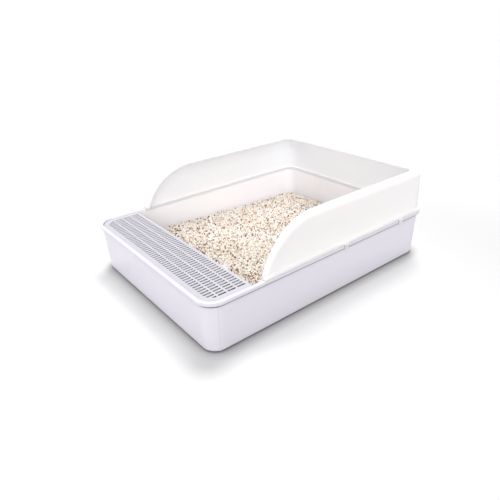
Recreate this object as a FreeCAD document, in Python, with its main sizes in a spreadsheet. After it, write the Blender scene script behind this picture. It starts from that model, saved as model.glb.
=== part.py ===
import FreeCAD, Part
import math
import os
import Sketcher
from FreeCAD import Placement, Rotation, Vector

# Open cat litter tray with a lift-off splash guard and a lift-off foot grate.
# Millimetres. X is across, Y runs from the grate (front, -Y) to the back, +Z is up.
# The origin is the middle of the underside. Outlines in plan are the outer outline
# of the tray's rim moved inwards by an inset.

SIZES = [
    # Tray
    ("tray_length", 560.0),
    ("tray_width", 422.0),
    ("tray_height", 101.0),
    ("rim_corner", 33.6),
    ("rim_overhang", 4.6),
    ("rim_plate", 2.2),
    ("rim_drop", 6.5),
    ("lip_wall", 1.8),
    ("rim_round", 1.0),
    ("tray_wall", 2.0),
    ("wall_lean", 3.0),
    ("tray_floor", 2.2),
    ("base_edge", 6.0),
    ("floor_edge", 4.0),
    ("foot_ring", 14.0),
    ("foot_recess", 1.5),
    # Ribs inside the tray that carry the grate
    ("rib_thickness", 2.5),
    ("rib_reach", 8.0),
    ("rib_first", 25.0),
    ("rib_side_pitch", 55.0),
    ("rib_front_pitch", 100.0),
    # Foot grate
    ("grate_plate", 2.5),
    ("grate_sink", 2.0),
    ("grate_gap", 0.5),
    ("grate_side_border", 11.0),
    ("grate_front_border", 10.6),
    ("grate_rear_border", 6.3),
    ("grate_rear_corner", 3.0),
    ("grate_edge", 0.8),
    ("field_margin", 0.6),
    ("field_corner", 19.0),
    ("slot_width", 3.5),
    ("slot_pitch", 7.45),
    ("slot_length", 15.0),
    ("slot_rows", 4),
    ("row_bar", 3.65),
    ("bar_rib_width", 2.0),
    ("bar_rib_depth", 5.0),
    # Splash guard
    ("guard_top", 185.0),
    ("guard_wall", 1.8),
    ("guard_inset", 5.2),
    ("guard_lean", 3.2),
    ("guard_shoulder", 11.0),
    ("opening_inset", 25.5),
    ("opening_front_inset", 15.0),
    ("opening_corner", 21.0),
    ("opening_lip", 4.5),
    ("sweep_radius", 123.0),
    ("sweep_start", 45.0),
    ("foot_plate", 2.2),
    ("foot_toe", 3.4),
    ("foot_round", 0.8),
    ("cove_radius", 4.5),
    ("cove_bite", 0.3),
    ("skirt_gap", 0.5),
    ("skirt_wall", 1.8),
    ("skirt_depth", 5.0),
    # Snap tabs of the guard
    ("tab_width", 10.0),
    ("tab_wall", 1.4),
    ("tab_drop", 7.8),
    ("tab_gap", 0.5),
    ("tab_bead", 0.3),
    ("tab_bead_height", 1.5),
    ("tab_first", 28.0),
    ("tab_pitch", 162.0),
    # Litter
    ("litter_gap", 0.8),
    ("litter_back", 29.0),
    ("litter_middle", 34.0),
    ("litter_front", 44.0),
    ("litter_crest", 40.0),
    ("litter_middle_at", 50.0),
    ("litter_front_at", 120.0),
    ("litter_crest_at", 170.0),
    ("litter_slope_run", 52.0),
]

ZERO = "0 * sizes.tray_height"

os.makedirs("parts", exist_ok=True)
doc = FreeCAD.newDocument("litter_tray")
sheet = doc.addObject("Spreadsheet::Sheet", "sizes")
for row, (name, value) in enumerate(SIZES, start=1):
    sheet.set(f"A{row}", name)
    sheet.set(f"B{row}", str(value))
    sheet.setAlias(f"B{row}", name)
doc.recompute()
# Bodies whose flush faces stay apart, because one face with every slot is slow.
SPLIT_FACES = ["foot_grate"]


def read(expression):
    """The value of an expression in the sizes of the sheet."""
    return float(sheet.evalExpression(expression))


def new_sketch(body, name, role="XY_Plane", offset=ZERO):
    """A sketch on one of the body's own planes, moved along that plane's normal."""
    plane = [item for item in body.Origin.OriginFeatures if item.Role == role][0]
    sketch = body.newObject("Sketcher::SketchObject", name)
    sketch.AttachmentSupport = [(plane, "")]
    sketch.MapMode = "FlatFace"
    sketch.AttachmentOffset = Placement(Vector(0, 0, read(offset)), Rotation())
    sketch.setExpression("AttachmentOffset.Base.z", offset)
    return sketch


def bind(sketch, kind, refs, expression):
    """A dimension of the sketch that follows an expression."""
    index = sketch.addConstraint(Sketcher.Constraint(kind, *refs, read(expression)))
    sketch.setExpression(f"Constraints[{index}]", expression)


def place(sketch, curve, end, kind, expression):
    """Holds one coordinate of a curve's end, measured from the sketch's origin."""
    if read(expression) < 0:
        bind(sketch, kind, (curve, end, -1, 1), f"-({expression})")
    else:
        bind(sketch, kind, (-1, 1, curve, end), expression)


def polygon(sketch, corners, closed=True):
    """A path through corners (across, along, radius), all expressions or None.

    A run between two corners with the same expression is level or upright and its
    place is set once. A corner with a radius is an arc tangent to its two runs.
    """
    count = len(corners)
    points = [Vector(read(across), read(along), 0) for across, along, radius in corners]
    arrive = list(points)
    leave = list(points)
    arcs = {}
    for i, (across, along, radius) in enumerate(corners):
        if radius is None:
            continue
        back = (points[i - 1] - points[i]).normalize()
        ahead = (points[(i + 1) % count] - points[i]).normalize()
        half_angle = back.getAngle(ahead) / 2
        size = read(radius)
        arrive[i] = points[i] + back * (size / math.tan(half_angle))
        leave[i] = points[i] + ahead * (size / math.tan(half_angle))
        centre = points[i] + (back + ahead).normalize() * (size / math.sin(half_angle))
        turns_left = back.cross(ahead).z < 0
        first, last = (arrive[i], leave[i]) if turns_left else (leave[i], arrive[i])
        angles = [math.atan2(end.y - centre.y, end.x - centre.x) for end in (first, last)]
        circle = Part.Circle(centre, Vector(0, 0, 1), size)
        if angles[1] < angles[0]:
            angles[1] += 2 * math.pi
        curve = sketch.addGeometry(Part.ArcOfCircle(circle, *angles), False)
        arcs[i] = (curve, 1, 2) if turns_left else (curve, 2, 1)
        bind(sketch, "Radius", (curve,), radius)
    runs = count if closed else count - 1
    lines = [
        sketch.addGeometry(Part.LineSegment(leave[i], arrive[(i + 1) % count]), False)
        for i in range(runs)
    ]
    held = set()
    for i, line in enumerate(lines):
        j = (i + 1) % count
        if corners[i][0] == corners[j][0]:
            sketch.addConstraint(Sketcher.Constraint("Vertical", line))
            place(sketch, line, 1, "DistanceX", corners[i][0])
            held |= {(i, 0), (j, 0)}
        elif corners[i][1] == corners[j][1]:
            sketch.addConstraint(Sketcher.Constraint("Horizontal", line))
            place(sketch, line, 1, "DistanceY", corners[i][1])
            held |= {(i, 1), (j, 1)}
    for i in range(count):
        before = lines[i - 1] if closed or i > 0 else None
        after = lines[i] if i < len(lines) else None
        if i in arcs:
            curve, arriving, leaving = arcs[i]
            sketch.addConstraint(Sketcher.Constraint("Tangent", before, 2, curve, arriving))
            sketch.addConstraint(Sketcher.Constraint("Tangent", curve, leaving, after, 1))
            continue
        if before is not None and after is not None:
            sketch.addConstraint(Sketcher.Constraint("Coincident", before, 2, after, 1))
        curve, end = (after, 1) if after is not None else (before, 2)
        for axis, kind in enumerate(("DistanceX", "DistanceY")):
            if (i, axis) not in held:
                place(sketch, curve, end, kind, corners[i][axis])
    return sketch


def half_width(inset):
    """Half width of an outline moved inwards from the rim's outer edge."""
    return f"sizes.tray_width / 2 - ({inset})"


def half_length(inset):
    """Half length of an outline moved inwards from the rim's outer edge."""
    return f"sizes.tray_length / 2 - ({inset})"


def corner(inset):
    """Corner radius of an outline moved inwards from the rim's outer edge."""
    return f"sizes.rim_corner - ({inset})"


def outline(sketch, inset):
    """The rim's outline in plan, moved inwards."""
    across, along, radius = half_width(inset), half_length(inset), corner(inset)
    return polygon(sketch, [
        (f"-({across})", f"-({along})", radius),
        (across, f"-({along})", radius),
        (across, along, radius),
        (f"-({across})", along, radius),
    ])


def horseshoe(sketch, inset, front, radius, closed=True):
    """The back part of the rim's outline, moved inwards and cut square at the front."""
    across, along = half_width(inset), half_length(inset)
    return polygon(sketch, [
        (across, front, None),
        (across, along, radius),
        (f"-({across})", along, radius),
        (f"-({across})", front, None),
    ], closed)


def extrude(body, kind, sketch, name, length, lean=None, flip=False, middle=False):
    """A pad or pocket of a sketch. lean is the sideways growth over the length."""
    feature = body.newObject(f"PartDesign::{kind}", name)
    feature.Profile = sketch
    feature.Refine = body.Label not in SPLIT_FACES
    feature.setExpression("Length", length)
    if lean is not None:
        feature.setExpression("TaperAngle", f"atan(({lean}) / ({length}))")
    feature.Reversed = flip
    feature.SideType = "Symmetric" if middle else "One side"
    doc.recompute()
    return feature


def pattern(body, name, feature, steps):
    """Copies of a feature, or of the whole body so far where the feature is None.

    Steps are (axis role, spacing, count) or the role of a mirror plane.
    """
    group = body.newObject("PartDesign::MultiTransform", name)
    group.Refine = body.Label not in SPLIT_FACES
    if feature is None:
        group.TransformMode = "Whole shape"
    else:
        group.Originals = [feature]
    moves = []
    for number, step in enumerate(steps):
        role = step if isinstance(step, str) else step[0]
        datum = [item for item in body.Origin.OriginFeatures if item.Role == role][0]
        if isinstance(step, str):
            move = body.newObject("PartDesign::Mirrored", f"{name}_mirror")
            move.MirrorPlane = (datum, [""])
        else:
            move = body.newObject("PartDesign::LinearPattern", f"{name}_row_{number}")
            move.Direction = (datum, [""])
            move.Mode = "Spacing"
            move.setExpression("Offset", step[1])
            move.setExpression("Occurrences", step[2])
        moves.append(move)
    group.Transformations = moves
    body.Tip = group
    doc.recompute()
    return group


def edges_at(feature, level, test):
    """Names of the edges that lie flat at a level and whose middle passes a test."""
    names = []
    for number, edge in enumerate(feature.Shape.Edges, start=1):
        box = edge.BoundBox
        if abs(box.ZMin - level) < 0.01 and abs(box.ZMax - level) < 0.01:
            if test(edge.valueAt((edge.FirstParameter + edge.LastParameter) / 2)):
                names.append(f"Edge{number}")
    return names


def round_over(body, feature, name, edges, radius):
    """A fillet of named edges."""
    fillet = body.newObject("PartDesign::Fillet", name)
    fillet.Base = (feature, edges)
    fillet.Refine = body.Label not in SPLIT_FACES
    fillet.setExpression("Radius", radius)
    doc.recompute()
    return fillet


def inset_of(point):
    """How far a point in plan lies inside the rim's outer outline."""
    across = max(abs(point.x) - read(half_width("sizes.rim_corner")), 0)
    along = max(abs(point.y) - read(half_length("sizes.rim_corner")), 0)
    return read("sizes.rim_corner") - math.hypot(across, along)


def wall_inset(level, depth):
    """Inset of the leaning tray wall at a level, plus a depth into it."""
    rise = f"1 - ({level}) / sizes.tray_height"
    return f"sizes.rim_overhang + sizes.wall_lean * ({rise}) + {depth}"


FLOOR_LEVEL = "sizes.foot_recess + sizes.tray_floor"
SEAT_LEVEL = "sizes.tray_height - sizes.grate_sink - sizes.grate_plate"
SLOT_STEP = "sizes.slot_length + sizes.row_bar"

# Tray: a drafted tub with rounded edges, a flat foot round a recessed underside and
# a rim that stands out and turns down. Ribs moulded on the walls carry the grate.
tray = doc.addObject("PartDesign::Body", "tray")
tray.Label = "tray"
tub = extrude(
    tray, "Pad",
    outline(new_sketch(tray, "tub_outline"), "sizes.rim_overhang + sizes.wall_lean"),
    "tub", "sizes.tray_height", lean="sizes.wall_lean",
)
tub = round_over(
    tray, tub, "base_round", edges_at(tub, 0, lambda middle: True), "sizes.base_edge",
)
rim = extrude(
    tray, "Pad",
    outline(new_sketch(tray, "rim_outline", offset="sizes.tray_height"), ZERO),
    "rim", "sizes.rim_plate", flip=True,
)
lip_sketch = outline(new_sketch(tray, "lip_outline", offset="sizes.tray_height"), ZERO)
outline(lip_sketch, "sizes.lip_wall")
lip = extrude(tray, "Pad", lip_sketch, "lip", "sizes.rim_drop", flip=True)
inner_inset = "sizes.rim_overhang + sizes.tray_wall"
hollow = extrude(
    tray, "Pocket",
    outline(new_sketch(tray, "hollow_outline", offset="sizes.tray_height"), inner_inset),
    "hollow", f"sizes.tray_height - ({FLOOR_LEVEL})",
    lean=f"-sizes.wall_lean * (1 - ({FLOOR_LEVEL}) / sizes.tray_height)",
)
hollow = round_over(
    tray, hollow, "floor_round",
    edges_at(hollow, read(FLOOR_LEVEL), lambda middle: True), "sizes.floor_edge",
)
rim_edges = edges_at(
    hollow, read("sizes.tray_height"),
    lambda middle: inset_of(middle) < read("sizes.rim_overhang"),
)
hollow = round_over(tray, hollow, "rim_round", rim_edges, "sizes.rim_round")
extrude(
    tray, "Pocket",
    outline(
        new_sketch(tray, "recess_outline"),
        "sizes.rim_overhang + sizes.wall_lean + sizes.base_edge + sizes.foot_ring",
    ),
    "foot_recess", "sizes.foot_recess", flip=True,
)


def rib_sketch(name, role, offset, half, sign):
    """A rib seen along the wall it stands on, following the wall's lean."""
    bottom = f"{FLOOR_LEVEL} - sizes.tray_floor / 2"
    root_low = half(wall_inset(bottom, "sizes.tray_wall / 2"))
    root_top = half(wall_inset(SEAT_LEVEL, "sizes.tray_wall / 2"))
    edge_low = half(wall_inset(bottom, "sizes.tray_wall + sizes.rib_reach"))
    edge_top = half(wall_inset(SEAT_LEVEL, "sizes.tray_wall + sizes.rib_reach"))
    return polygon(new_sketch(tray, name, role, offset), [
        (f"{sign}({root_low})", bottom, None),
        (f"{sign}({root_top})", SEAT_LEVEL, None),
        (f"{sign}({edge_top})", SEAT_LEVEL, None),
        (f"{sign}({edge_low})", bottom, None),
    ])


side_rib = extrude(
    tray, "Pad",
    rib_sketch("side_rib_outline", "XZ_Plane", half_length("sizes.rib_first"), half_width, ""),
    "side_rib", "sizes.rib_thickness", middle=True,
)
side_ribs = pattern(
    tray, "side_ribs", side_rib,
    [("Y_Axis", "sizes.rib_side_pitch", "2"), "YZ_Plane"],
)
front_rib = extrude(
    tray, "Pad",
    rib_sketch("front_rib_outline", "YZ_Plane", "sizes.rib_front_pitch / 2", half_length, "-"),
    "front_rib", "sizes.rib_thickness", middle=True,
)
front_ribs = pattern(
    tray, "front_ribs", front_rib,
    [("X_Axis", "sizes.rib_front_pitch", "2"), "YZ_Plane"],
)
tray.Tip = front_ribs

# Foot grate: a flat slotted plate that drops inside the rim and rests on the ribs.
# Half a row of slots is repeated, and the border fills them where the corners turn.
# Under the bars a frame with cross ribs stiffens it.
grate = doc.addObject("PartDesign::Body", "foot_grate")
grate.Label = "foot_grate"
GRATE_INSET = wall_inset(SEAT_LEVEL, "sizes.tray_wall + sizes.grate_gap")
GRATE_SIDE = half_width(GRATE_INSET)
GRATE_FRONT = half_length(GRATE_INSET)
SLOT_FRONT = f"{GRATE_FRONT} - sizes.grate_front_border"
SLOTS_HALF = (
    f"floor(({GRATE_SIDE} - sizes.grate_side_border"
    " + (sizes.slot_pitch - sizes.slot_width) / 2) / sizes.slot_pitch)"
)
ROWS_BACK = f"{SLOT_FRONT} - sizes.slot_rows * ({SLOT_STEP}) + sizes.row_bar"
FIELD_SIDE = (
    f"{SLOTS_HALF} * sizes.slot_pitch"
    " - (sizes.slot_pitch - sizes.slot_width) / 2 + sizes.field_margin"
)
FIELD_FRONT = f"-({SLOT_FRONT} + sizes.field_margin)"
FIELD_BACK = f"-({ROWS_BACK} - sizes.field_margin)"
row_front = f"-({SLOT_FRONT} + sizes.row_bar / 2)"
row_back = f"-({SLOT_FRONT} - sizes.slot_length - sizes.row_bar / 2)"
row_end = f"{SLOTS_HALF} * sizes.slot_pitch"
half_row = extrude(
    grate, "Pad",
    polygon(new_sketch(grate, "half_row_outline", offset=SEAT_LEVEL), [
        (ZERO, row_front, None),
        (row_end, row_front, None),
        (row_end, row_back, None),
        (ZERO, row_back, None),
    ]),
    "half_row", "sizes.grate_plate",
)
slot_near = "(sizes.slot_pitch - sizes.slot_width) / 2"
slot_far = "(sizes.slot_pitch + sizes.slot_width) / 2"
slot_back = f"-({SLOT_FRONT} - sizes.slot_length)"
slot = extrude(
    grate, "Pocket",
    polygon(new_sketch(grate, "slot_outline", offset=SEAT_LEVEL), [
        (slot_near, f"-({SLOT_FRONT})", None),
        (slot_far, f"-({SLOT_FRONT})", None),
        (slot_far, slot_back, None),
        (slot_near, slot_back, None),
    ]),
    "slot", "sizes.grate_plate", flip=True,
)
pattern(grate, "half_row_slots", slot, [("X_Axis", "sizes.slot_pitch", SLOTS_HALF)])
pattern(grate, "field", None, [("Y_Axis", SLOT_STEP, "sizes.slot_rows"), "YZ_Plane"])


def field_outline(sketch, growth):
    """The outline of the slotted field, with its front corners rounded."""
    side = f"{FIELD_SIDE} + {growth}"
    front = f"{FIELD_FRONT} - {growth}"
    back = f"{FIELD_BACK} + {growth}"
    return polygon(sketch, [
        (f"-({side})", front, f"sizes.field_corner + {growth}"),
        (side, front, f"sizes.field_corner + {growth}"),
        (side, back, None),
        (f"-({side})", back, None),
    ])


plate_back = f"-({ROWS_BACK} - sizes.grate_rear_border)"
border_sketch = polygon(new_sketch(grate, "border_outline", offset=SEAT_LEVEL), [
    (f"-({GRATE_SIDE})", f"-({GRATE_FRONT})", corner(GRATE_INSET)),
    (GRATE_SIDE, f"-({GRATE_FRONT})", corner(GRATE_INSET)),
    (GRATE_SIDE, plate_back, "sizes.grate_rear_corner"),
    (f"-({GRATE_SIDE})", plate_back, "sizes.grate_rear_corner"),
])
field_outline(border_sketch, ZERO)
border = extrude(grate, "Pad", border_sketch, "border", "sizes.grate_plate")
outer_edges = edges_at(
    border, read(f"{SEAT_LEVEL} + sizes.grate_plate"),
    lambda middle: abs(middle.x) > read(f"{FIELD_SIDE} + sizes.bar_rib_width")
    or not read(FIELD_FRONT) - 1 < middle.y < read(FIELD_BACK) + 1,
)
round_over(grate, border, "border_round", outer_edges, "sizes.grate_edge")
under_sketch = new_sketch(grate, "frame_outline", offset=SEAT_LEVEL)
field_outline(under_sketch, "sizes.bar_rib_width")
for row in range(int(read("sizes.slot_rows"))):
    rib_line = f"{SLOT_FRONT} - {row} * ({SLOT_STEP}) + sizes.row_bar / 2"
    front = f"-({rib_line} - sizes.bar_rib_width / 2)"
    back = f"-({rib_line} - ({SLOT_STEP}) + sizes.bar_rib_width / 2)"
    round_corner = None
    if row == 0:
        front = FIELD_FRONT
        round_corner = f"-({FIELD_FRONT}) + ({back}) - sizes.field_margin"
    if row == int(read("sizes.slot_rows")) - 1:
        back = FIELD_BACK
    polygon(under_sketch, [
        (f"-({FIELD_SIDE})", front, round_corner),
        (FIELD_SIDE, front, round_corner),
        (FIELD_SIDE, back, None),
        (f"-({FIELD_SIDE})", back, None),
    ])
frame = extrude(grate, "Pad", under_sketch, "frame", "sizes.bar_rib_depth", flip=True)
grate.Tip = frame

# Splash guard: a moulded hood, open at the front and in the middle, that stands on
# the rim. Its top line is level at the back and sweeps down to the rim in an arc.
RIM_LEVEL = "sizes.tray_height"
SPILL = "sizes.tray_height - sizes.foot_plate"
SWEEP_DROP = f"sizes.sweep_radius - sizes.guard_top + {RIM_LEVEL}"
SWEEP_END = f"sizes.sweep_start + sqrt(sizes.sweep_radius^2 - ({SWEEP_DROP})^2)"
PAST_END = f"-({SWEEP_END} + sizes.sweep_start)"
PAST_BACK = half_length("0 - sizes.sweep_start")
PAST_TOP = "sizes.guard_top + sizes.sweep_start"
GUARD_RISE = "sizes.guard_top - sizes.tray_height"


def sweep(body, name, depth, above):
    """A cut of all that lies above, or below, the guard's top line moved in by a depth."""
    sketch = new_sketch(body, f"{name}_line", "YZ_Plane")
    radius = read(f"sizes.sweep_radius - {depth}")
    centre = Vector(-read("sizes.sweep_start"), read("sizes.guard_top - sizes.sweep_radius"), 0)
    top = centre + Vector(0, radius, 0)
    drop = read(SPILL) - centre.y
    low = centre + Vector(-math.sqrt(radius * radius - drop * drop), drop, 0)
    circle = Part.Circle(centre, Vector(0, 0, 1), radius)
    end_angle = math.atan2(low.y - centre.y, low.x - centre.x)
    arc = sketch.addGeometry(Part.ArcOfCircle(circle, math.pi / 2, end_angle), False)
    bind(sketch, "Radius", (arc,), f"sizes.sweep_radius - {depth}")
    place(sketch, arc, 3, "DistanceX", "-(sizes.sweep_start)")
    place(sketch, arc, 3, "DistanceY", "sizes.guard_top - sizes.sweep_radius")
    level = f"sizes.guard_top - {depth}"
    if above:
        turns = [(PAST_BACK, level), (PAST_BACK, PAST_TOP), (PAST_END, PAST_TOP), (PAST_END, SPILL)]
    else:
        turns = [(PAST_BACK, level), (PAST_BACK, SPILL)]
    points = [top] + [Vector(read(y), read(z), 0) for y, z in turns] + [low]
    lines = [
        sketch.addGeometry(Part.LineSegment(start, end), False)
        for start, end in zip(points, points[1:])
    ]
    sketch.addConstraint(Sketcher.Constraint("Tangent", arc, 1, lines[0], 1))
    for before, after in zip(lines, lines[1:]):
        sketch.addConstraint(Sketcher.Constraint("Coincident", before, 2, after, 1))
    sketch.addConstraint(Sketcher.Constraint("Coincident", lines[-1], 2, arc, 2))
    sketch.addConstraint(Sketcher.Constraint("Horizontal", lines[0]))
    sketch.addConstraint(Sketcher.Constraint("Horizontal", lines[-1]))
    place(sketch, lines[-1], 1, "DistanceY", SPILL)
    for line, (y, z) in zip(lines, turns):
        if z != SPILL or above:
            place(sketch, line, 2, "DistanceX", y)
        if z == PAST_TOP:
            place(sketch, line, 2, "DistanceY", z)
    if not above:
        sketch.addConstraint(Sketcher.Constraint("Vertical", lines[1]))
    return extrude(body, "Pocket", sketch, name, "2 * sizes.tray_width", middle=True)


def hood(body, name, depth, base):
    """The guard's full outer form from a base level up, moved in by a depth."""
    height = f"sizes.guard_top + sizes.guard_shoulder - ({base})"
    slope = f"sizes.guard_lean / ({GUARD_RISE})"
    inset = f"sizes.guard_inset + {depth} + {slope} * (({base}) - {RIM_LEVEL})"
    loaf = extrude(
        body, "Pad",
        horseshoe(
            new_sketch(body, f"{name}_outline", offset=base), inset,
            f"-({SWEEP_END} + sizes.guard_shoulder)", corner(inset),
        ),
        f"{name}_loaf", height, lean=f"-({slope}) * ({height})",
    )
    swept = sweep(body, f"{name}_sweep", depth, True)
    top = read(f"sizes.guard_top - {depth}")
    edges = []
    for number, edge in enumerate(swept.Shape.Edges, start=1):
        box = edge.BoundBox
        across = box.XMax < 0 or box.XMin > 0
        level = box.ZMin > top - 0.01 and (across or box.YMin > 0)
        down = across and box.ZMax > top - 0.01 and box.YLength > read("sizes.sweep_radius") / 2
        if level or down:
            edges.append(f"Edge{number}")
    return round_over(body, swept, f"{name}_shoulder", edges, f"sizes.guard_shoulder - {depth}")


guard = doc.addObject("PartDesign::Body", "splash_guard")
guard.Label = "splash_guard"
outer = hood(guard, "outer", ZERO, RIM_LEVEL)
room = doc.addObject("PartDesign::Body", "guard_room")
inner = hood(room, "inner", "sizes.guard_wall", SPILL)
walls = guard.newObject("PartDesign::Boolean", "guard_walls")
walls.Type = "Cut"
walls.setObjects([room])
doc.recompute()


def opening(sketch, growth, front=None):
    """The outline of the opening in plan, wider where the guard's top line comes down."""
    side = half_width(f"sizes.opening_inset - {growth}")
    back = half_length(f"sizes.opening_inset - {growth}")
    front_side = half_width(f"sizes.opening_front_inset - {growth}")
    radius = f"sizes.opening_corner + {growth}"
    corners = [
        (side, "-(sizes.sweep_start)", None),
        (side, back, radius),
        (f"-({side})", back, radius),
        (f"-({side})", "-(sizes.sweep_start)", None),
        (f"-({front_side})", f"-({SWEEP_END})", None),
    ]
    if front is not None:
        corners += [(f"-({front_side})", front, None), (front_side, front, None)]
    return polygon(sketch, corners + [(front_side, f"-({SWEEP_END})", None)])


def open_up(body):
    """Cuts the opening that the litter is reached through, from above and the front."""
    sketch = new_sketch(body, f"{body.Name}_opening_outline", offset=SPILL)
    opening(sketch, ZERO, PAST_END)
    return extrude(body, "Pocket", sketch, f"{body.Name}_opening", PAST_TOP, flip=True)


open_up(guard)
# The edge of the opening turns down as a short lip that follows the guard's top line.
edge_lip = doc.addObject("PartDesign::Body", "edge_lip")
extrude(
    edge_lip, "Pad",
    opening(new_sketch(edge_lip, "edge_lip_outline", offset=RIM_LEVEL), "sizes.guard_wall"),
    "edge_lip_block", GUARD_RISE,
)
open_up(edge_lip)
sweep(edge_lip, "edge_lip_top", "sizes.guard_wall / 2", True)
sweep(edge_lip, "edge_lip_foot", "sizes.opening_lip", False)
joined = guard.newObject("PartDesign::Boolean", "guard_lip")
joined.Type = "Fuse"
joined.setObjects([edge_lip])
doc.recompute()

# The foot runs along the rim: a flat flange with a cove up to the wall, and a skirt
# that hangs inside the tray's wall and keeps the guard in place.
FOOT_FRONT = f"{SWEEP_END} + sizes.foot_toe"
foot_path = horseshoe(
    new_sketch(guard, "foot_path", offset=RIM_LEVEL), ZERO,
    f"-({FOOT_FRONT})", "sizes.rim_corner", closed=False,
)
foot_top = f"{RIM_LEVEL} + sizes.foot_plate"
foot_edge = half_width(ZERO)
cove_line = half_width("sizes.guard_inset + sizes.cove_bite")
cove_top = f"{foot_top} + sizes.cove_radius + sizes.cove_bite"
wall_line = half_width("sizes.guard_inset + sizes.guard_wall / 2")
skirt_outer = half_width("sizes.rim_overhang + sizes.tray_wall + sizes.skirt_gap")
skirt_inner = half_width(
    "sizes.rim_overhang + sizes.tray_wall + sizes.skirt_gap + sizes.skirt_wall"
)
foot_section = polygon(new_sketch(guard, "foot_section", "XZ_Plane", FOOT_FRONT), [
    (foot_edge, RIM_LEVEL, None),
    (foot_edge, foot_top, "sizes.foot_round"),
    (cove_line, foot_top, "sizes.cove_radius"),
    (cove_line, cove_top, None),
    (wall_line, cove_top, None),
    (wall_line, foot_top, None),
    (skirt_inner, foot_top, None),
    (skirt_inner, f"{RIM_LEVEL} - sizes.skirt_depth", None),
    (skirt_outer, f"{RIM_LEVEL} - sizes.skirt_depth", None),
    (skirt_outer, RIM_LEVEL, None),
])
foot = guard.newObject("PartDesign::AdditivePipe", "foot")
foot.Profile = foot_section
foot.Spine = (foot_path, [])
foot.Transition = "Transformed"
doc.recompute()

# Four tabs hang from the foot outside the rim. A bead at the end of each steadies it.
tab_inner = half_width("0 - sizes.tab_gap")
tab_outer = half_width("0 - sizes.tab_gap - sizes.tab_wall")
tab_bead = half_width("0 - sizes.tab_gap + sizes.tab_bead")
tab_end = f"{foot_top} - sizes.tab_drop - sizes.foot_plate"
tab = extrude(
    guard, "Pad",
    polygon(new_sketch(guard, "tab_section", "XZ_Plane", "0 - sizes.tab_first"), [
        (wall_line, RIM_LEVEL, None),
        (tab_inner, RIM_LEVEL, None),
        (tab_inner, f"{tab_end} + sizes.tab_bead_height", None),
        (tab_bead, f"{tab_end} + sizes.tab_bead_height", None),
        (tab_bead, tab_end, None),
        (tab_outer, tab_end, None),
        (tab_outer, foot_top, None),
        (wall_line, foot_top, None),
    ]),
    "tab", "sizes.tab_width", middle=True,
)
pattern(guard, "tabs", tab, [("Y_Axis", "sizes.tab_pitch", "2"), "YZ_Plane"])

# Litter: a loose bed that fills the tray behind the grate, deeper towards the front,
# with a slope of grains that runs out under the grate.
litter = doc.addObject("PartDesign::Body", "litter_bed")
litter.Label = "litter_bed"
BED_LEVEL = f"{FLOOR_LEVEL} + sizes.litter_gap"
bed = extrude(
    litter, "Pad",
    outline(
        new_sketch(litter, "bed_outline", offset=BED_LEVEL),
        wall_inset(BED_LEVEL, "sizes.tray_wall + sizes.litter_gap"),
    ),
    "bed", "sizes.litter_front", lean="sizes.wall_lean * sizes.litter_front / sizes.tray_height",
)
bed = round_over(
    litter, bed, "bed_round",
    edges_at(bed, read(BED_LEVEL), lambda middle: True), "sizes.floor_edge",
)
surface = [
    (PAST_BACK, "sizes.litter_back", None),
    (half_length("sizes.rim_overhang"), "sizes.litter_back", None),
    ("sizes.litter_middle_at", "sizes.litter_middle", None),
    ("-(sizes.litter_front_at)", "sizes.litter_front", None),
    ("-(sizes.litter_crest_at)", "sizes.litter_crest", None),
    ("-(sizes.litter_crest_at + sizes.litter_slope_run)", BED_LEVEL, None),
    ("-(sizes.litter_crest_at + sizes.litter_slope_run)", ZERO, None),
    ("-(sizes.tray_length)", ZERO, None),
    ("-(sizes.tray_length)", "2 * sizes.litter_front", None),
    (PAST_BACK, "2 * sizes.litter_front", None),
]
bed = extrude(
    litter, "Pocket", polygon(new_sketch(litter, "surface", "YZ_Plane"), surface),
    "levelled", "2 * sizes.tray_width", middle=True,
)
rib_line = half_length("sizes.rib_first + sizes.rib_side_pitch")
rib_half = "(sizes.rib_thickness / 2 + sizes.litter_gap)"
rib_reach = half_width(wall_inset(BED_LEVEL, "sizes.tray_wall + sizes.rib_reach + sizes.litter_gap"))
rib_room = extrude(
    litter, "Pocket",
    polygon(new_sketch(litter, "rib_room_outline", offset=ZERO), [
        (rib_reach, f"-({rib_line} + {rib_half})", None),
        (half_width(ZERO), f"-({rib_line} + {rib_half})", None),
        (half_width(ZERO), f"-({rib_line} - {rib_half})", None),
        (rib_reach, f"-({rib_line} - {rib_half})", None),
    ]),
    "rib_room", "2 * sizes.litter_front", flip=True,
)
pattern(litter, "rib_rooms", rib_room, ["YZ_Plane"])

doc.recompute()
for item in doc.Objects:
    if "Invalid" in item.State or "Error" in item.State:
        raise RuntimeError(f"{item.Name} failed: {item.State} {item.getStatusString()}")
NODES = [tray, grate, guard, litter]
for node in NODES:
    if node.Shape.isNull() or not node.Shape.isValid():
        raise RuntimeError(f"{node.Label} is not a sound solid")
for node in NODES:
    node.Shape.exportStep(f"parts/{node.Label}.step")
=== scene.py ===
import math

import bpy
import numpy as np
from mathutils import Matrix, Vector


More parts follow.
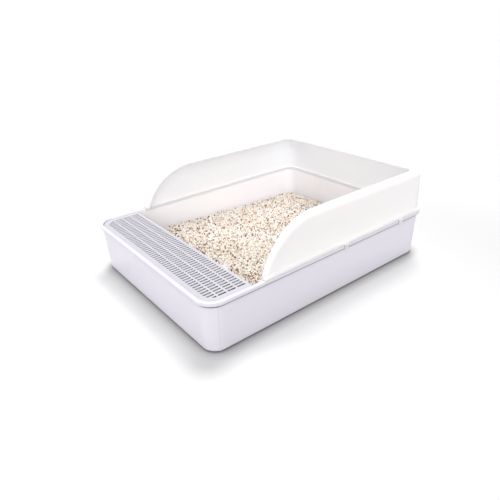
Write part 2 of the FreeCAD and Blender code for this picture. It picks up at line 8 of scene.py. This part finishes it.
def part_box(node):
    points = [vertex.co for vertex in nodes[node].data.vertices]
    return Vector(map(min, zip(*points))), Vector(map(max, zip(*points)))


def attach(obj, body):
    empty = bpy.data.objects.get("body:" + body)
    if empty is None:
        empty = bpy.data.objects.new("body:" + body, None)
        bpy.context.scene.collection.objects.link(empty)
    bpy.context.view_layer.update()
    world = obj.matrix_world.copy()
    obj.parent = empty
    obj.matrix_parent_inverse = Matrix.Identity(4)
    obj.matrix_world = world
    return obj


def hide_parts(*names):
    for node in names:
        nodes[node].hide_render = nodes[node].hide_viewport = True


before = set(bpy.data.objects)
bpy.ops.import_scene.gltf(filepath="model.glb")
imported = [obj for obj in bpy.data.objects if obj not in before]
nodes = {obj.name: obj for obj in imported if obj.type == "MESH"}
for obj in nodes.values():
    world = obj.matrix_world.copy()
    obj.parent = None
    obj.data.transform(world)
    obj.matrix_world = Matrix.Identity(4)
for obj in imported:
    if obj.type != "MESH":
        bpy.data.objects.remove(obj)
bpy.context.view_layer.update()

# Camera: a 33 mm lens, 0.86 m from the point it is aimed at, in front of the tray and to its
# right. It looks down at about 28 degrees and leans a little about its own axis.
VIEW_TURN = 52.59
VIEW_LIFT = 27.86
VIEW_LEAN = -2.33
AIM_POINT = Vector((0.0974, -0.1073, 0.0933))
VIEW_DISTANCE = 0.858
SENSOR_WIDTH = 36.0
FOCAL_PIXELS = 463.5
PICTURE_PIXELS = 500

turn, lift, lean = (math.radians(angle) for angle in (VIEW_TURN, VIEW_LIFT, VIEW_LEAN))
backward = Vector((math.sin(turn) * math.cos(lift), -math.cos(turn) * math.cos(lift), math.sin(lift)))
level_right = Vector((math.cos(turn), math.sin(turn), 0.0))
level_up = backward.cross(level_right)
right = level_right * math.cos(lean) + level_up * math.sin(lean)
up = level_up * math.cos(lean) - level_right * math.sin(lean)
camera_data = bpy.data.cameras.new("camera")
camera_data.sensor_width = SENSOR_WIDTH
camera_data.lens = SENSOR_WIDTH * FOCAL_PIXELS / PICTURE_PIXELS
camera = bpy.data.objects.new("camera", camera_data)
bpy.context.scene.collection.objects.link(camera)
facing = Matrix((right, up, backward)).transposed().to_4x4()
camera.matrix_world = Matrix.Translation(AIM_POINT + backward * VIEW_DISTANCE) @ facing
bpy.context.scene.camera = camera
bpy.context.scene.view_settings.view_transform = "Standard"


# Floor and light: a white paper sweep in a pale studio. A wide key lamp high behind the tray
# throws soft shadows forward, two lamps stand near the camera, and one fills each side.
FLOOR_HALF = 6.0
FLOOR_DROP = 0.0004      # keeps the floor's face just off the tray's foot
# The shade next to the base is a painted shadow in the floor's colour, set by how much open sky is near.
CONTACT_REACH = 0.025    # how far the shade next to the base reaches
CONTACT_CLOSED = 0.3     # share of open sky at which that shade is darkest
CONTACT_SHADE = 0.36     # brightness that is left there
CONTACT_SAMPLES = 16
ROOM_STRENGTH = 0.08
LAMPS = [  # name, strength, width of the source, bearing and height in degrees
    ("key_lamp", 2.1, 24, 218, 65),
    ("high_fill", 1.0, 14, 50, 53),
    ("low_fill", 1.50, 40, 54, 22),
    ("left_fill", 1.50, 40, -40, 12),
    ("right_fill", 0.42, 40, 100, 30),
]


def colour(code):
    """An sRGB hex colour as linear RGBA: below 0.04045 a straight line, above it a 2.4 power."""
    parts = [int(code[i:i + 2], 16) / 255 for i in (0, 2, 4)]
    return [p / 12.92 if p <= 0.04045 else ((p + 0.055) / 1.055) ** 2.4 for p in parts] + [1.0]


def new_material(name):
    """An empty node material, its node tree and its output node."""
    material = bpy.data.materials.new(name)
    material.use_nodes = True
    tree = material.node_tree
    tree.nodes.clear()
    return material, tree, tree.nodes.new("ShaderNodeOutputMaterial")


def add(tree, kind, settings=None, **links):
    """Adds a node, sets its properties or sockets, and links named or numbered sockets."""
    node = tree.nodes.new(f"ShaderNode{kind}")
    for key, value in (settings or {}).items():
        if isinstance(key, str) and hasattr(node, key):
            setattr(node, key, value)
        else:
            node.inputs[key].default_value = value
    for key, source in links.items():
        socket = node.inputs[int(key[2:])] if key.startswith("at") else node.inputs[key.replace("_", " ")]
        tree.links.new(source, socket)
    return node


def seen_as_background(tree):
    """One for rays that look at the background, straight or in a reflection, and nought for light."""
    path = add(tree, "LightPath")
    mirrored = add(tree, "Math", {"operation": "MAXIMUM"},
                   at0=path.outputs["Is Glossy Ray"], at1=path.outputs["Is Transmission Ray"])
    return add(tree, "Math", {"operation": "MAXIMUM"},
               at0=path.outputs["Is Camera Ray"], at1=mirrored.outputs[0]).outputs[0]


floor_mesh = bpy.data.meshes.new("floor")
floor_corners = ((-FLOOR_HALF, -FLOOR_HALF), (FLOOR_HALF, -FLOOR_HALF),
                 (FLOOR_HALF, FLOOR_HALF), (-FLOOR_HALF, FLOOR_HALF))
floor_mesh.from_pydata([(x, y, -FLOOR_DROP) for x, y in floor_corners], [], [(0, 1, 2, 3)])
floor = bpy.data.objects.new("floor", floor_mesh)
bpy.context.scene.collection.objects.link(floor)

# The paper looks nearly white and throws a greyer light back, and a painted shadow darkens its colour next
# to the base.
paper, tree, out = new_material("white_paper_sweep")
seen = add(tree, "Mix", {"data_type": "RGBA", 6: colour("b4b4b4"), 7: colour("e6e6e6")},
           at0=seen_as_background(tree))
near = add(tree, "AmbientOcclusion", {"samples": CONTACT_SAMPLES, "Distance": CONTACT_REACH})
contact = add(tree, "MapRange", {"From Min": CONTACT_CLOSED, "To Min": CONTACT_SHADE},
              Value=near.outputs["AO"])
painted_contact_shadow = add(tree, "HueSaturation", Color=seen.outputs[2], Value=contact.outputs[0])
sheet = add(tree, "BsdfDiffuse", Color=painted_contact_shadow.outputs[0])
tree.links.new(sheet.outputs[0], out.inputs[0])
floor_mesh.materials.append(paper)

# The studio looks white but gives little light of its own.
world = bpy.data.worlds.new("studio")
bpy.context.scene.world = world
world.use_nodes = True
tree = world.node_tree
tree.nodes.clear()
room = add(tree, "Background", {"Color": colour("ffffff"), "Strength": ROOM_STRENGTH})
backdrop = add(tree, "Background", {"Color": colour("ffffff"), "Strength": 1.0})
seen = add(tree, "MixShader", at0=seen_as_background(tree), at1=room.outputs[0], at2=backdrop.outputs[0])
add(tree, "OutputWorld", Surface=seen.outputs[0])

for name, strength, width, bearing, height in LAMPS:
    lamp_data = bpy.data.lights.new(name, "SUN")
    lamp_data.energy = strength
    lamp_data.angle = math.radians(width)
    lamp = bpy.data.objects.new(name, lamp_data)
    lamp.rotation_euler = (math.pi / 2 - math.radians(height), 0.0, math.radians(bearing))
    bpy.context.scene.collection.objects.link(lamp)


# Tray: one injection moulding in opaque white polypropylene. The mould was polished,
# so it has a soft gloss, a faint satin grain and slight waves where it shrank.
SATIN_MM = 0.6           # width of a grain in the satin skin
SATIN_DEPTH = 0.0001
SATIN_STRENGTH = 0.08
WAVE_MM = 90.0           # width of a slow wave
WAVE_SHADE = 0.015       # how much a wave lightens and darkens the plastic
WAVE_ROUGHNESS = 0.04    # how much it changes the gloss
EDGE_ROUND = 0.0020
EDGE_SAMPLES = 6
PLASTIC_IOR = 1.49
INSIDE_LIMIT = 0.1       # a face whose normal times its place is below this looks inwards
GAP_SHADE_REACH = 0.007
GAP_SHADE_SAMPLES = 8
GAP_SHADE_CLOSED, GAP_SHADE_OPEN = 0.35, 0.70    # shares of open sky: painted shade below, none above
LIP_DROP = 0.0065        # lower edge of the lip below the top of the rim
LIP_SHADE = 0.0060       # where the painted shadow line under the lip ends
LIP_FADE = 0.7           # share of that drop at which the line has its full shade


def moulded_plastic(name, shade, painted_inside_shade, painted_gap_shade, roughness, glow, depth,
                    painted_gap_shade_inside=0.0, sheer=0.0, lip_edge=0.0):
    """Polypropylene with slow clouds, a fine grain, light that soaks in and painted shade in tight gaps.

    Faces that look towards the middle of the tray have their own painted shade for how light falls inside,
    and carry the painted gap shade only by the share painted_gap_shade_inside. A sheer plastic lets that
    share of the lamps' light straight through. A painted shadow also lies as a line on the outer wall from
    LIP_SHADE below the edge of an overhanging lip.
    """
    material, tree, out = new_material(name)
    place = add(tree, "TexCoord").outputs["Object"]
    clouds = add(tree, "TexNoise", {"Scale": 1000 / WAVE_MM, "Detail": 2.0}, Vector=place)
    grain = add(tree, "TexNoise", {"Scale": 1000 / SATIN_MM, "Detail": 1.0}, Vector=place)
    outward = add(tree, "VectorMath", {"operation": "DOT_PRODUCT"},
                  at0=place, at1=add(tree, "NewGeometry").outputs["Normal"])
    inner = add(tree, "Math", {"operation": "LESS_THAN", 1: INSIDE_LIMIT}, at0=outward.outputs["Value"])
    # Faces looking inwards take painted_inside_shade: a painted lighter or cooler copy of the plastic for
    # how light falls inside.
    tint = add(tree, "Mix", {"data_type": "RGBA", 6: colour(shade), 7: colour(painted_inside_shade)},
               at0=inner.outputs[0])
    cloud_shade = add(tree, "MapRange", {"To Min": 1 - WAVE_SHADE, "To Max": 1 + WAVE_SHADE},
                      Value=clouds.outputs["Fac"])
    cloudy = add(tree, "HueSaturation", Color=tint.outputs[2], Value=cloud_shade.outputs[0])
    # Painted shade: the colour turns towards painted_gap_shade where little open sky is near, in gaps,
    # creases and under overhangs.
    near = add(tree, "AmbientOcclusion", {"samples": GAP_SHADE_SAMPLES, "Distance": GAP_SHADE_REACH})
    open_share = add(tree, "MapRange", {"From Min": GAP_SHADE_CLOSED, "From Max": GAP_SHADE_OPEN},
                     Value=near.outputs["AO"])
    inside_unshaded = add(tree, "Math", {"operation": "MULTIPLY", 1: 1.0 - painted_gap_shade_inside}, at0=inner.outputs[0])
    unshaded_share = add(tree, "Math", {"operation": "MAXIMUM"}, at0=open_share.outputs[0], at1=inside_unshaded.outputs[0])
    # A painted shadow line on the outer wall just below the lip, where the lip's overhang shades the wall.
    if lip_edge:
        level = add(tree, "SeparateXYZ", at0=place).outputs["Z"]
        rising = add(tree, "MapRange",
                     {"From Min": lip_edge - LIP_SHADE, "From Max": lip_edge - LIP_SHADE * LIP_FADE},
                     Value=level)
        below = add(tree, "Math", {"operation": "LESS_THAN", 1: lip_edge}, at0=level)
        line = add(tree, "Math", {"operation": "MULTIPLY"}, at0=rising.outputs[0], at1=below.outputs[0])
        outside_lip_shadow = add(tree, "Math", {"operation": "SUBTRACT", 0: 1.0}, at1=line.outputs[0])
        wall = add(tree, "Math", {"operation": "MAXIMUM"}, at0=outside_lip_shadow.outputs[0], at1=inner.outputs[0])
        unshaded_share = add(tree, "Math", {"operation": "MINIMUM"}, at0=unshaded_share.outputs[0], at1=wall.outputs[0])
    with_painted_shade = add(tree, "Mix", {"data_type": "RGBA", 6: colour(painted_gap_shade)},
               at0=unshaded_share.outputs[0], at7=cloudy.outputs[0])
    rough = add(tree, "MapRange",
                {"To Min": roughness - WAVE_ROUGHNESS, "To Max": roughness + WAVE_ROUGHNESS},
                Value=clouds.outputs["Fac"])
    soft_edge = add(tree, "Bevel", {"samples": EDGE_SAMPLES, "Radius": EDGE_ROUND})
    dimple = add(tree, "Bump", {"Strength": SATIN_STRENGTH, "Distance": SATIN_DEPTH},
                 Height=grain.outputs["Fac"], Normal=soft_edge.outputs[0])
    shell = add(
        tree, "BsdfPrincipled",
        {"IOR": PLASTIC_IOR, "Subsurface Weight": glow, "Subsurface Scale": depth,
         "Subsurface Radius": (1.0, 1.0, 1.0)},
        Base_Color=with_painted_shade.outputs[2], Roughness=rough.outputs[0], Normal=dimple.outputs[0],
    )
    if not sheer:
        tree.links.new(shell.outputs[0], out.inputs[0])
        return material
    through = add(tree, "Math", {"operation": "MULTIPLY", 1: sheer},
                  at0=add(tree, "LightPath").outputs["Is Shadow Ray"])
    milky = add(tree, "MixShader", at0=through.outputs[0], at1=shell.outputs[0],
                at2=add(tree, "BsdfTransparent").outputs[0])
    tree.links.new(milky.outputs[0], out.inputs[0])
    return material


def dress(node, material):
    """Gives a CAD node one material in place of its own."""
    slots = nodes[node].data.materials
    slots.clear()
    slots.append(material)


# A cool white with a soft shine, a painted paler shade inside, painted shade in tight gaps and a painted
# shadow line under the lip.
dress("tray", moulded_plastic(
    "white_polypropylene", shade="e4e0ea", painted_inside_shade="f6f4f7", painted_gap_shade="706c76",
    roughness=0.30, glow=0.3, depth=0.003, lip_edge=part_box("tray")[1][2] - LIP_DROP,
))

# Splash guard: the same plastic moulded thinner and left milky. It lifts off the rim.
# Light soaks into it and half of the lamps' light passes, so it looks warm and bright outside, with a
# painted cooler shade inside and a faint painted shade in tight gaps.
dress("splash_guard", moulded_plastic(
    "milky_polypropylene", shade="fff8f9", painted_inside_shade="f2f4fb", painted_gap_shade="e8e8ee",
    roughness=0.34, glow=0.8, depth=0.008, sheer=0.5,
))

# Foot grate: a loose plate in pale grey polypropylene that drops inside the rim onto the
# ribs of the tray. Its top is satin, so that paws find grip, and a painted near-black shade darkens its
# slots and gaps.
dress("foot_grate", moulded_plastic(
    "grey_polypropylene", shade="cccad2", painted_inside_shade="cccad2", painted_gap_shade="1c1a1e",
    roughness=0.42, glow=0.0, depth=0.001, painted_gap_shade_inside=1.0,
))


# Litter: a loose heap of clay and wood grains about 5 mm long, cream with tan and brown
# ones among them. It is highest behind the grate and falls gently to the back.
GRAIN_STEP = 0.0040
ROW_SHARE = 0.87                 # staggered rows stand this much closer than the grains in them
GRAIN_HALF = np.array([0.0025, 0.0020, 0.0017])
GRAIN_SINK = 0.0016              # middles of the grains below the line of the heap
GRAIN_MARGIN = 0.0030
SPOT_SHAKE = 0.0013
UPPER_SHARE = 0.30               # share of the grains with a second one on top
UPPER_SHAKE = 0.002
LOWER_LIFTS = (-0.0006, 0.0010)
UPPER_LIFTS = (0.0012, 0.0026)
GRAIN_SIZES = (0.72, 1.15)
SIDE_SIZES = (0.85, 1.15)
LUMP_SIZES = (0.86, 1.12)
PIECE_GRAINS = 4800
RING_SIDES, RING_COUNT = 6, 3    # a grain is a few rings of points between two poles
RING_TWIST = 0.5
CORNER_ROUND = 0.022             # round of the heap's two rear corners
LITTER_LINE = np.array([
    (-0.2222, 0.004), (-0.170, 0.040), (-0.120, 0.044), (0.050, 0.034), (0.275, 0.029),
])
LITTER_WAVES = (  # height, radians per metre across and along, start
    (0.0011, 31, 17, 1.0), (0.0009, -23, 41, 2.2), (0.0006, 67, 59, 0.0),
)
DIP_X, DIP_Y = -0.19, -0.165
DIP_DEPTH = 0.010
DIP_REACH = 0.035
GRAIN_SHADES = (
    (0.0, "fffcf6"), (0.40, "fcf3e8"), (0.66, "f6e6d4"),
    (0.80, "dfc5ac"), (0.90, "a88670"), (0.975, "5c443a"),
)
DUST_MM = 1.2
DUST_STRENGTH = 0.35
DUST_DEPTH = 0.0003
GRAIN_ROUGHNESS = 0.85
rng = np.random.default_rng(7)
low, high = (np.array(corner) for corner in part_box("litter_bed"))


def litter_height(x, y):
    """Level of the grains' middles: the bed's line less a sink, plus three low crossing waves,
    less a dip that fades with the square of the distance."""
    wave = sum(
        rise * np.sin(x * across + y * along + start) for rise, across, along, start in LITTER_WAVES
    )
    dip = DIP_DEPTH * np.exp(-((x - DIP_X) ** 2 + (y - DIP_Y) ** 2) / DIP_REACH ** 2)
    return np.interp(y, LITTER_LINE[:, 0], LITTER_LINE[:, 1]) - GRAIN_SINK + wave - dip


def pebble():
    """Vertices and triangles of a unit ball: rings of points between two poles, each ring
    turned by a share of its angle from the pole."""
    tilt = math.pi * np.arange(1, RING_COUNT + 1) / (RING_COUNT + 1)
    spin = 2 * math.pi * np.arange(RING_SIDES) / RING_SIDES
    ring = np.stack([
        np.sin(tilt)[:, None] * np.cos(spin + RING_TWIST * tilt[:, None]),
        np.sin(tilt)[:, None] * np.sin(spin + RING_TWIST * tilt[:, None]),
        np.cos(tilt)[:, None] + 0 * spin,
    ], axis=2).reshape(-1, 3)
    points = np.vstack([[(0, 0, 1)], ring, [(0, 0, -1)]])
    a = np.arange(RING_SIDES)
    b = (a + 1) % RING_SIDES
    faces = [np.stack([0 * a, 1 + a, 1 + b], axis=1)]
    for level in range(RING_COUNT - 1):
        top, bottom = 1 + level * RING_SIDES, 1 + (level + 1) * RING_SIDES
        faces.append(np.stack([top + a, bottom + a, bottom + b], axis=1))
        faces.append(np.stack([top + a, bottom + b, top + b], axis=1))
    last = len(points) - 1
    top = 1 + (RING_COUNT - 1) * RING_SIDES
    faces.append(np.stack([top + a, 0 * a + last, top + b], axis=1))
    return points, np.vstack(faces)


def mesh_piece(name, points, faces):
    """A smooth mesh object from arrays of points and of triangles or quads."""
    mesh = bpy.data.meshes.new(name)
    sides = faces.shape[1]
    mesh.vertices.add(len(points))
    mesh.vertices.foreach_set("co", points.astype(np.float32).ravel())
    mesh.loops.add(faces.size)
    mesh.loops.foreach_set("vertex_index", faces.astype(np.int32).ravel())
    mesh.polygons.add(len(faces))
    mesh.polygons.foreach_set("loop_start", np.arange(0, faces.size, sides, dtype=np.int32))
    mesh.update(calc_edges=True)
    mesh.polygons.foreach_set("use_smooth", np.full(len(faces), True))
    piece = bpy.data.objects.new(name, mesh)
    bpy.context.scene.collection.objects.link(piece)
    return piece


def inside_tray(x, y, margin):
    """Whether points lie inside the rounded outline of the litter, less a margin."""
    across = np.maximum(np.abs(x) - (high[0] - margin - CORNER_ROUND), 0)
    along = np.maximum(y - (high[1] - margin - CORNER_ROUND), 0)
    return (np.hypot(across, along) < CORNER_ROUND) & (y > low[1] + margin)


def random_turns(amount):
    """Turning matrices from random unit quaternions (w, x, y, z)."""
    quaternions = rng.normal(size=(amount, 4))
    quaternions /= np.linalg.norm(quaternions, axis=1, keepdims=True)
    w, x, y, z = quaternions.T
    return np.stack([
        np.stack([1 - 2 * (y * y + z * z), 2 * (x * y - z * w), 2 * (x * z + y * w)], axis=1),
        np.stack([2 * (x * y + z * w), 1 - 2 * (x * x + z * z), 2 * (y * z - x * w)], axis=1),
        np.stack([2 * (x * z - y * w), 2 * (y * z + x * w), 1 - 2 * (x * x + y * y)], axis=1),
    ], axis=1)


columns = np.arange(low[0], high[0], GRAIN_STEP)
rows = np.arange(low[1], high[1], GRAIN_STEP * ROW_SHARE)
grid_x, grid_y = np.meshgrid(columns, rows)
grid_x = grid_x + GRAIN_STEP / 2 * (np.arange(len(rows)) % 2)[:, None]
spots = np.stack([grid_x.ravel(), grid_y.ravel()], axis=1)
spots = spots + rng.uniform(-SPOT_SHAKE, SPOT_SHAKE, spots.shape)
upper = rng.random(len(spots)) < UPPER_SHARE
extra = spots[upper] + rng.uniform(-UPPER_SHAKE, UPPER_SHAKE, (upper.sum(), 2))
lift_of = np.concatenate([
    rng.uniform(*LOWER_LIFTS, len(spots)),
    rng.uniform(*UPPER_LIFTS, len(extra)),
])
spots = np.vstack([spots, extra])
kept = inside_tray(spots[:, 0], spots[:, 1], GRAIN_MARGIN)
spots, lift_of = spots[kept], lift_of[kept]
centres = np.column_stack([spots, litter_height(spots[:, 0], spots[:, 1]) + lift_of])

ball, ball_faces = pebble()
count = len(centres)
sizes = GRAIN_HALF * rng.uniform(*GRAIN_SIZES, (count, 1)) * rng.uniform(*SIDE_SIZES, (count, 3))
turns = random_turns(count)
lumps = rng.uniform(*LUMP_SIZES, (count, len(ball), 1))
shapes = np.einsum("nij,nvj->nvi", turns, ball[None] * lumps * sizes[:, None, :])
grain_points = shapes + centres[:, None, :]
shade_of = rng.random(count)

# Each grain keeps one shade, from cream to dark brown, and looks dull and dusty.
grit, tree, out = new_material("clay_and_wood_grains")
shade = add(tree, "Attribute", {"attribute_name": "shade"})
ramp = add(tree, "ValToRGB", Fac=shade.outputs["Fac"])
ramp.color_ramp.interpolation = "CONSTANT"
stops = ramp.color_ramp.elements
stops.remove(stops[-1])
stops[0].color = colour(GRAIN_SHADES[0][1])
for start, code in GRAIN_SHADES[1:]:
    stops.new(start).color = colour(code)
place = add(tree, "TexCoord").outputs["Object"]
dust = add(tree, "TexNoise", {"Scale": 1000 / DUST_MM, "Detail": 2.0}, Vector=place)
rubbed = add(tree, "Bump", {"Strength": DUST_STRENGTH, "Distance": DUST_DEPTH},
             Height=dust.outputs["Fac"])
grain_shader = add(tree, "BsdfPrincipled", {"Roughness": GRAIN_ROUGHNESS},
                   Base_Color=ramp.outputs[0], Normal=rubbed.outputs[0])
tree.links.new(grain_shader.outputs[0], out.inputs[0])

for number, start in enumerate(range(0, count, PIECE_GRAINS), start=1):
    part = grain_points[start:start + PIECE_GRAINS]
    amount = len(part)
    faces = (ball_faces[None] + len(ball) * np.arange(amount)[:, None, None]).reshape(-1, 3)
    piece = mesh_piece(f"litter_grains_{number}", part.reshape(-1, 3), faces)
    tone = piece.data.attributes.new("shade", "FLOAT", "POINT")
    tone.data.foreach_set("value", np.repeat(shade_of[start:start + amount], len(ball)).astype(np.float32))
    piece.data.materials.append(grit)
    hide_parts("litter_bed")
    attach(piece, "tray_body")


# Litter underneath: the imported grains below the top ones, seen only as shade in the
# gaps, so it is one closed slab with a lumpy top in a darker mix.
SLAB_STEP = 0.004
SLAB_SINK = 0.0016       # top of the slab below the middles of the grains
SLAB_MARGIN = 0.002
SLAB_LUMP = 0.0006
SLAB_CLEAR = 0.0005      # underside of the slab above the bottom of the heap
SLAB_LEAST = 0.0005      # least thickness of the slab
SLAB_ROUGHNESS = 0.9
CELL_MM = 4.0
slab_x = np.linspace(low[0] + SLAB_MARGIN, high[0] - SLAB_MARGIN, int((high[0] - low[0]) / SLAB_STEP))
slab_y = np.linspace(low[1] + SLAB_MARGIN, high[1] - SLAB_MARGIN, int((high[1] - low[1]) / SLAB_STEP))
mesh_x, mesh_y = np.meshgrid(slab_x, slab_y)
squeeze = np.clip((mesh_y - (high[1] - (SLAB_MARGIN + CORNER_ROUND))) / CORNER_ROUND, 0, 1)
inset = np.minimum(CORNER_ROUND * (1 - np.sqrt(1 - squeeze ** 2)), np.abs(mesh_x))
mesh_x = mesh_x - np.sign(mesh_x) * inset
top_z = litter_height(mesh_x, mesh_y) - SLAB_SINK + rng.uniform(-SLAB_LUMP, SLAB_LUMP, mesh_x.shape)
base_z = np.full(mesh_x.shape, low[2] + SLAB_CLEAR)
top_z = np.maximum(top_z, base_z + SLAB_LEAST)
n_rows, n_columns = mesh_x.shape
layer = n_rows * n_columns
slab_points = np.concatenate([
    np.stack([mesh_x, mesh_y, top_z], axis=2).reshape(-1, 3),
    np.stack([mesh_x, mesh_y, base_z], axis=2).reshape(-1, 3),
])
index = np.arange(layer).reshape(n_rows, n_columns)
quads = np.stack([index[:-1, :-1], index[:-1, 1:], index[1:, 1:], index[1:, :-1]], axis=2).reshape(-1, 4)
border = np.concatenate([index[0, :-1], index[:-1, -1], index[-1, :0:-1], index[:0:-1, 0]])
after = np.roll(border, -1)
walls = np.stack([border, border + layer, after + layer, after], axis=1)
slab = mesh_piece("litter_underneath", slab_points, np.concatenate([quads, quads[:, ::-1] + layer, walls]))

# Two browns in cells as wide as a grain, dull like the grains above and darker than them: painted shade
# for the gaps between the top grains.
packed, tree, out = new_material("clay_grains_painted_dark")
place = add(tree, "TexCoord").outputs["Object"]
cells = add(tree, "TexVoronoi", {"Scale": 1000 / CELL_MM}, Vector=place)
mix = add(tree, "Mix", {"data_type": "RGBA", 6: colour("c0a48e"), 7: colour("7c6050")},
          at0=cells.outputs["Distance"])
packed_shader = add(tree, "BsdfPrincipled", {"Roughness": SLAB_ROUGHNESS}, Base_Color=mix.outputs[2])
tree.links.new(packed_shader.outputs[0], out.inputs[0])
slab.data.materials.append(packed)
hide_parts("litter_bed")
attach(slab, "tray_body")
